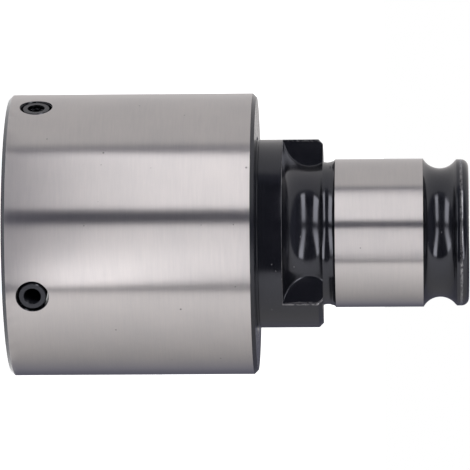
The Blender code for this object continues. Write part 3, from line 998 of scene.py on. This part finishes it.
class ADAPTER_OT_die_screws(bpy.types.Operator):
    """Makes the set screws that clamp the die, each on its own body"""

    bl_idname = "adapter.die_screws"
    bl_label = "Die screws"

    def execute(self, context):
        sizes = context.scene.adapter_screws
        # The screws' boxes lie aslant, so their length comes from the head's wall
        wall = head_radius - context.scene.adapter_head.pocket_radius
        sunk, short = 0.0003, 0.0005
        mesh = screw_tree(sizes, wall - sunk - short).mesh("set_screw")
        place = Matrix.Translation((head_radius - sunk, 0, sizes.height))
        for number in range(1, sizes.count + 1):
            turn = sizes.first_angle + math.tau * (number - 1) / sizes.count
            copy = mesh.copy()
            copy.transform(Matrix.Rotation(turn, 4, "Z") @ place @ OUTWARDS)
            made = piece(f"set_screw_{number}", copy, 35.0)
            settled(made, f"screw_{number}", "black_oxide", f"die_screw_{number}")
        bpy.data.meshes.remove(mesh)
        return {"FINISHED"}


def chamfered_ring(name, inner, outer, front, rear, edge):
    """A flat ring with all its corners chamfered."""
    profile = [
        (inner + edge, front),
        (outer - edge, front),
        (outer, front + edge),
        (outer, rear - edge),
        (outer - edge, rear),
        (inner + edge, rear),
        (inner, rear - edge),
        (inner, front + edge),
    ]
    return spun(name, profile, 160)


class ADAPTER_OT_rings(bpy.types.Operator):
    """Makes the die's seat ring and the thrust washer"""

    bl_idname = "adapter.rings"
    bl_label = "Seat ring and thrust washer"

    def execute(self, context):
        seat_width, seat_edge, washer_edge = 0.0033, 0.00025, 0.00015
        seat_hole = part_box("die_seat_ring")[1].x - seat_width
        washer_hole = context.scene.adapter_head.journal_radius
        for name, node, hole, edge in (
            ("seat_ring_ground", "die_seat_ring", seat_hole, seat_edge),
            ("thrust_washer_ground", "thrust_washer", washer_hole, washer_edge),
        ):
            low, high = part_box(node)
            mesh = chamfered_ring(name, hole, high.x, low.z, high.z, edge)
            mesh.materials.append(finish("hardened_steel"))
            settled(piece(name, mesh), "head", "hardened_steel", node)
        return {"FINISHED"}


class ADAPTER_OT_ring_nuts(bpy.types.Operator):
    """Makes the lock nut and the adjusting nut with their spanner slots"""

    bl_idname = "adapter.ring_nuts"
    bl_label = "Ring nuts"

    def slot_cutter(self, clutch, reach):
        """What one spanner slot takes away, with its outer corners rounded."""
        slot = bmesh.new()
        size = (reach, clutch.slot_width, 2 * clutch.slot_depth, 1.0)
        bmesh.ops.create_cube(slot, size=1.0, matrix=Matrix.Diagonal(size))
        upright = [e for e in slot.edges if abs(e.verts[0].co.z - e.verts[1].co.z) > 1e-6]
        outer = [e for e in upright if e.verts[0].co.x > 0]
        bmesh.ops.bevel(slot, geom=outer, offset=0.0006, segments=4, affect="EDGES", profile=0.5)
        return mesh_of(slot, "slot")

    def execute(self, context):
        clutch = context.scene.adapter_clutch
        edge = 0.0003
        reach = clutch.slot_reach + clutch.clearance
        middle = clutch.hub_hole + clutch.slot_reach - reach / 2
        for node, body in (("lock_nut", "locker"), ("adjusting_nut", "adjuster")):
            low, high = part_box(node)
            blank = chamfered_ring(node, clutch.hub_hole, high.x, low.z, high.z, edge)
            cutter = self.slot_cutter(clutch, reach)
            name = f"{node}_black"
            mesh = repeated_cut(name, blank, cutter, "black_oxide", clutch.slot_count, middle, low.z)
            settled(piece(name, mesh), body, "black_oxide", node)
        return {"FINISHED"}


class ADAPTER_OT_disc_springs(bpy.types.Operator):
    """Makes the stack of disc springs"""

    bl_idname = "adapter.disc_springs"
    bl_label = "Disc springs"

    def execute(self, context):
        clutch = context.scene.adapter_clutch
        nodes = sorted(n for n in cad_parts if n.startswith("disc_spring_"))
        first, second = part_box(nodes[0]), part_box(nodes[1])
        foot = first[0].z
        hole, outer, round_off = clutch.hub_hole, first[1].x, 0.0002
        thick, cone = clutch.disc_thickness, clutch.disc_cone
        profile = [
            (hole + round_off, 0),
            (outer - round_off, cone),
            (outer, cone + round_off),
            (outer, cone + thick - round_off),
            (outer - round_off, cone + thick),
            (hole + round_off, thick),
            (hole, thick - round_off),
            (hole, round_off),
        ]
        disc = added("disc", spun("disc", profile, 144))
        tree = Tree(
            "disc_stack",
            disc=disc,
            count=len(nodes),
            pitch=second[0].z - foot,
            first_height=foot,
            disc_height=thick + cone,
            material=finish("spring_steel"),
        )
        # Every other disc is turned over, and stands on the height of its cone
        index = tree.node("GeometryNodeInputIndex").outputs[0]
        turned = sums(tree.group, "MODULO", index, 2.0)
        lift = tree.times(turned, tree.value("Disc height"))
        height = tree.plus(tree.value("First height"), tree.times(index, tree.value("Pitch")))
        place = tree.vector(Z=tree.plus(height, lift))
        tree.close(tree.copies(tree.shape("Disc"), place, tree.vector(X=tree.times(turned, math.pi))))
        made = piece("disc_spring_stack", tree.mesh("disc_spring_stack"))
        bpy.data.objects.remove(disc)
        settled(made, "head", "spring_steel", *nodes)
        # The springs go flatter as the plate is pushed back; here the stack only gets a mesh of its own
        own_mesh(made)
        return {"FINISHED"}


class ADAPTER_OT_pressure_plate(bpy.types.Operator):
    """Makes the pressure plate with its hub, ball sockets and pin notches"""

    bl_idname = "adapter.pressure_plate"
    bl_label = "Pressure plate"

    def execute(self, context):
        clutch = context.scene.adapter_clutch
        head = context.scene.adapter_head
        low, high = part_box("pressure_plate")
        plate_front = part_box("disc_spring_4")[1].z + clutch.clearance
        bore, edge = context.scene.adapter_shank.bore_radius, 0.0002
        profile = [
            (bore + edge, low.z),
            (clutch.hub_radius - edge, low.z),
            (clutch.hub_radius, low.z + edge),
            (clutch.hub_radius, plate_front),
            (high.x - edge, plate_front),
            (high.x, plate_front + edge),
            (high.x, high.z - edge),
            (high.x - edge, high.z),
            (bore, high.z),
            (bore, low.z + edge),
        ]
        ball = bmesh.new()
        bmesh.ops.create_uvsphere(
            ball, u_segments=40, v_segments=20, radius=clutch.ball_radius + clutch.clearance
        )
        holed = repeated_cut(
            "plate_sockets",
            spun("pressure_plate", profile, 160),
            mesh_of(ball, "ball_socket"),
            "hardened_steel",
            clutch.ball_count,
            clutch.ball_circle,
            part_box("clutch_ball_1")[0].z + clutch.ball_radius,
        )
        notch_radius = clutch.pin_radius + clutch.clearance
        mesh = repeated_cut(
            "pressure_plate_ground",
            holed,
            rod("pin_notch", notch_radius, 0.5 * plate_front, 2 * high.z),
            "hardened_steel",
            clutch.pin_count,
            head.bore_radius,
            first_angle=clutch.pin_first_angle,
        )
        settled(piece("pressure_plate_ground", mesh), "plate", "hardened_steel", "pressure_plate")
        return {"FINISHED"}


class ADAPTER_OT_balls_and_pins(bpy.types.Operator):
    """Makes the clutch balls and the drive pins, in rings round the axis"""

    bl_idname = "adapter.balls_and_pins"
    bl_label = "Clutch balls and drive pins"

    def execute(self, context):
        clutch = context.scene.adapter_clutch
        balls = Tree(
            "ball_ring",
            count=clutch.ball_count,
            ball_radius=clutch.ball_radius,
            radius=clutch.ball_circle,
            height=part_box("clutch_ball_1")[0].z + clutch.ball_radius,
            first_angle=0.0,
            material=finish("ball_steel"),
        )
        inputs = {"Segments": 40, "Rings": 20, "Radius": balls.value("Ball radius")}
        balls.close(balls.ring(balls.node("GeometryNodeMeshUVSphere", inputs).outputs[0]))
        made = piece("clutch_ball_ring", balls.mesh("clutch_ball_ring"), 60.0)
        names = [f"clutch_ball_{number + 1}" for number in range(clutch.ball_count)]
        settled(made, "plate", "ball_steel", *names)

        front, rear = (corner.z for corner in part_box("drive_pin_1"))
        radius, edge, top = clutch.pin_radius, 0.0002, rear - front
        profile = [
            (0, 0),
            (radius - edge, 0),
            (radius, edge),
            (radius, top - edge),
            (radius - edge, top),
            (0, top),
        ]
        pin = added("pin", spun("pin", profile, 32, closed=False))
        pins = Tree(
            "pin_ring",
            pin=pin,
            count=clutch.pin_count,
            radius=context.scene.adapter_head.bore_radius,
            height=front,
            first_angle=clutch.pin_first_angle,
            material=finish("hardened_steel"),
        )
        pins.close(pins.ring(pins.shape("Pin")))
        made = piece("drive_pin_ring", pins.mesh("drive_pin_ring"))
        bpy.data.objects.remove(pin)
        names = [f"drive_pin_{number + 1}" for number in range(clutch.pin_count)]
        settled(made, "head", "hardened_steel", *names)
        return {"FINISHED"}


def camera_axes(stage):
    """(back, up) of the camera, with the adapter's axis running to the right."""
    a, e = stage.azimuth, stage.elevation
    back = Vector((math.sin(a) * math.cos(e), -math.cos(a) * math.cos(e), math.sin(e)))
    right = (Vector((0, 0, 1)) - back * back.z).normalized()
    return back, Matrix.Rotation(-stage.roll, 3, back) @ back.cross(right)


def soft_step(value, low, high):
    """0 below low, 1 above high, and a soft way between them."""
    t = min(1.0, max(0.0, (value - low) / (high - low)))
    return t * t * (3 - 2 * t)


def stretch(value, start, full, fall, end):
    """1 from full to fall, with soft ends down to 0 at start and end."""
    return soft_step(value, start, full) * soft_step(-value, -end, -fall)


# Stretches of the light tent in degrees up from the camera, as stretch takes them
LOWER_STRIP = (-46.0, -44.0, 7.0, 9.5)
UPPER_STRIP = (19.5, 22.0, 71.0, 73.0)
CAMERA_GAP = (-49.5, -47.5, 77.0, 82.0)
# A strip's edges in degrees from the horizon at its top, and how much further out they are at its foot
STRIP_INNER, STRIP_OUTER = 14.0, 28.0
INNER_SPREAD, OUTER_SPREAD = 9.0, 13.0


def tent_glow(stage, along, across):
    """The light tent's strength in a direction in degrees, along up from the camera and across the horizon.

    Strip lights stand on both sides of the camera, above and below it, with dark gaps between them, and
    the pale walls of the tent fill the rest.
    """
    out = abs(across)
    spread = soft_step(-along, -9.0, 41.0)
    inner, outer = STRIP_INNER + INNER_SPREAD * spread, STRIP_OUTER + OUTER_SPREAD * spread
    in_strip = stretch(out, inner - 1.0, inner + 2.0, outer - 1.5, outer + 1.5)
    lower = stretch(along, *LOWER_STRIP) * (0.85 + 0.3 * spread)
    in_gap = stretch(along, *CAMERA_GAP)
    fading = min(1.0, max(0.0, (-along - 60.0) / 100.0))
    side = stage.wall_glow * (1.0 - 0.85 * fading) * (1.0 + 0.48 * soft_step(-along, 0.0, 30.0))
    dark = stage.gap_glow + 0.10 * soft_step(out, 42.0, 60.0) + 0.14 * soft_step(along, 62.0, 72.0)
    glow = side * (1.0 - in_gap) + dark * in_gap
    return glow + stage.strip_glow * in_strip * max(lower, stretch(along, *UPPER_STRIP))


def glowing(name):
    """A material that gives light as strong as the mesh's glow attribute says, bluer where it is weak."""
    material = bpy.data.materials.new(name)
    material.use_nodes = True
    tree = material.node_tree
    tree.nodes.remove(tree.nodes["Principled BSDF"])
    weak_colour, strong_colour = (0.82, 0.83, 1.12), (1.0, 0.965, 0.962)
    glow = put(tree, "ShaderNodeAttribute", attribute_name="glow").outputs["Fac"]
    colour_of_light = blended(tree, between(tree, glow, 0.0, 0.5), weak_colour, strong_colour)
    light = put(tree, "ShaderNodeEmission", {"Color": colour_of_light, "Strength": glow})
    tree.links.new(light.outputs[0], tree.nodes["Material Output"].inputs["Surface"])
    return material


def sight_rays(tree):
    """1 for the rays that show a surface: straight, in a reflection or through glass."""
    rays = tree.nodes.new("ShaderNodeLightPath")
    seen = sums(tree, "MAXIMUM", rays.outputs["Is Camera Ray"], rays.outputs["Is Glossy Ray"])
    return sums(tree, "MAXIMUM", seen, rays.outputs["Is Transmission Ray"])


class ADAPTER_OT_stage(bpy.types.Operator):
    """Makes the floor, the light tent, the world and the camera"""

    bl_idname = "adapter.stage"
    bl_label = "Stage"

    def direction_of(self, place):
        """(along, across) of a place as the wall of the head sees it, in degrees."""
        across = math.degrees(math.asin(max(-1.0, min(1.0, place.normalized().z))))
        up, back = place.dot(self.up), place.dot(self.back)
        along = math.atan2(up, back)
        # The point of the wall that mirrors the place lies halfway round, which is found step by step
        for _ in range(24):
            wall_up, wall_back = head_radius * math.sin(along / 2), head_radius * math.cos(along / 2)
            along = 0.5 * along + 0.5 * math.atan2(up - wall_up, back - wall_back)
        return math.degrees(along), across

    def tent(self, stage):
        """The light tent, which the camera doesn't see."""
        shape = bmesh.new()
        bmesh.ops.create_uvsphere(shape, u_segments=240, v_segments=90, radius=stage.tent_radius)
        glow = shape.verts.layers.float.new("glow")
        for vert in shape.verts:
            vert[glow] = tent_glow(stage, *self.direction_of(vert.co))
            vert.co += self.middle
        # One row stays below the floor, so that no gap is left between the tent and the mat
        hidden = [v for v in shape.verts if v.co.z < -0.03]
        bmesh.ops.delete(shape, geom=hidden, context="VERTS")
        mesh = mesh_of(shape, "tent")
        mesh.materials.append(glowing("tent_light"))
        tent = added("tent", mesh)
        tent.visible_camera = False
        tent.visible_shadow = False
        return tent

    def mat(self, stage):
        """The mat round the adapter with the lower strip lights, which only the metal sees."""
        shape = bmesh.new()
        glow = shape.verts.layers.float.new("glow")
        camera_turn = math.atan2(self.back.y, self.back.x)
        up_turn = math.atan2(self.up.y, self.up.x)
        sense = 1.0 if math.sin(up_turn - camera_turn) > 0 else -1.0
        inner, rings, height = 1.02 * head_radius, 60, 0.0002
        columns = []
        for degrees in range(-180, 181):
            turn = camera_turn + sense * math.radians(degrees)
            column = []
            for ring in range(rings + 1):
                radius = inner * (stage.tent_radius / inner) ** (ring / rings)
                place = Vector((radius * math.cos(turn), radius * math.sin(turn), height))
                vert = shape.verts.new(place)
                vert[glow] = tent_glow(stage, *self.direction_of(place - self.middle))
                column.append(vert)
            columns.append(column)
        for left, right in zip(columns, columns[1:]):
            for corners in zip(left, left[1:], right[1:], right):
                shape.faces.new(corners)
        mesh = mesh_of(shape, "mat")
        mesh.materials.append(glowing("mat_light"))
        mat = added("mat", mesh)
        mat.visible_camera = False
        mat.visible_diffuse = False
        mat.visible_shadow = False
        return mat

    def floor(self, colours):
        """A matt floor that looks as pale as the world behind it."""
        material = bpy.data.materials.new("floor")
        material.use_nodes = True
        tree = material.node_tree
        own_glow, half = 0.85, 12.0
        feed_all(tree, tree.nodes["Principled BSDF"], {
            "Base Color": (*colours.floor, 1.0),
            "Roughness": 0.9,
            "Specular IOR Level": 0.0,
            "Emission Color": (1.0, 1.0, 1.0, 1.0),
            "Emission Strength": sums(tree, "MULTIPLY", sight_rays(tree), own_glow),
        })
        corners = [(-half, -half, 0), (half, -half, 0), (half, half, 0), (-half, half, 0)]
        mesh = bpy.data.meshes.new("floor")
        mesh.from_pydata(corners, [], [(0, 1, 2, 3)])
        mesh.materials.append(material)
        return added("floor", mesh)

    def world(self, scene):
        """A white world, weaker as a light than it looks."""
        world = bpy.data.worlds.new("white_room")
        world.use_nodes = True
        tree = world.node_tree
        as_light, as_seen = 0.6, 1.0
        feed_all(tree, tree.nodes["Background"], {
            "Color": (1.0, 1.0, 1.0, 1.0),
            "Strength": between(tree, sight_rays(tree), 0.0, 1.0, as_light, as_seen),
        })
        scene.world = world

    def camera(self, stage, scene):
        """The camera, with the adapter's axis running to the right of the picture."""
        data = bpy.data.cameras.new("camera")
        data.lens = stage.lens
        data.clip_start, data.clip_end = 0.01, 100.0
        camera = added("camera", data)
        right = self.up.cross(self.back)
        turn = Matrix((right, self.up, self.back)).transposed().to_4x4()
        place = Vector((0, 0, stage.aim)) + self.back * stage.distance - self.up * stage.drop
        camera.matrix_world = Matrix.Translation(place) @ turn
        scene.camera = camera

    def execute(self, context):
        stage = context.scene.adapter_stage
        self.back, self.up = camera_axes(stage)
        self.middle = Vector((0, 0, 0.05))
        tent, mat = self.tent(stage), self.mat(stage)
        self.floor(context.scene.adapter_finishes)
        self.world(context.scene)
        self.camera(stage, context.scene)
        context.scene.view_settings.view_transform = "Standard"
        return {"FINISHED"}


class ADAPTER_PT_panel(bpy.types.Panel):
    """Lists the steps that make the adapter"""

    bl_label = "Tapping adapter"
    bl_idname = "ADAPTER_PT_panel"
    bl_space_type = "VIEW_3D"
    bl_region_type = "UI"
    bl_category = "Adapter"

    def draw(self, context):
        for step in STEPS:
            self.layout.operator(step.bl_idname)


STEPS = (
    ADAPTER_OT_head_sleeve,
    ADAPTER_OT_shank_body,
    ADAPTER_OT_die_screws,
    ADAPTER_OT_rings,
    ADAPTER_OT_ring_nuts,
    ADAPTER_OT_disc_springs,
    ADAPTER_OT_pressure_plate,
    ADAPTER_OT_balls_and_pins,
    ADAPTER_OT_stage,
)

GROUPS = {
    "adapter_head": HeadSizes,
    "adapter_shank": ShankSizes,
    "adapter_screws": ScrewSizes,
    "adapter_clutch": ClutchSizes,
    "adapter_finishes": FinishColours,
    "adapter_stage": StageSizes,
}


def register():
    for name, group in GROUPS.items():
        bpy.utils.register_class(group)
        setattr(bpy.types.Scene, name, PointerProperty(type=group))
    for kind in (*STEPS, ADAPTER_PT_panel):
        bpy.utils.register_class(kind)


def unregister():
    for kind in (ADAPTER_PT_panel, *reversed(STEPS)):
        bpy.utils.unregister_class(kind)
    for name, group in reversed(GROUPS.items()):
        delattr(bpy.types.Scene, name)
        bpy.utils.unregister_class(group)


def main():
    register()
    bpy.ops.adapter.head_sleeve()
    bpy.ops.adapter.shank_body()
    bpy.ops.adapter.die_screws()
    bpy.ops.adapter.rings()
    bpy.ops.adapter.ring_nuts()
    bpy.ops.adapter.disc_springs()
    bpy.ops.adapter.pressure_plate()
    bpy.ops.adapter.balls_and_pins()
    bpy.ops.adapter.stage()


if __name__ == "__main__":
    main()
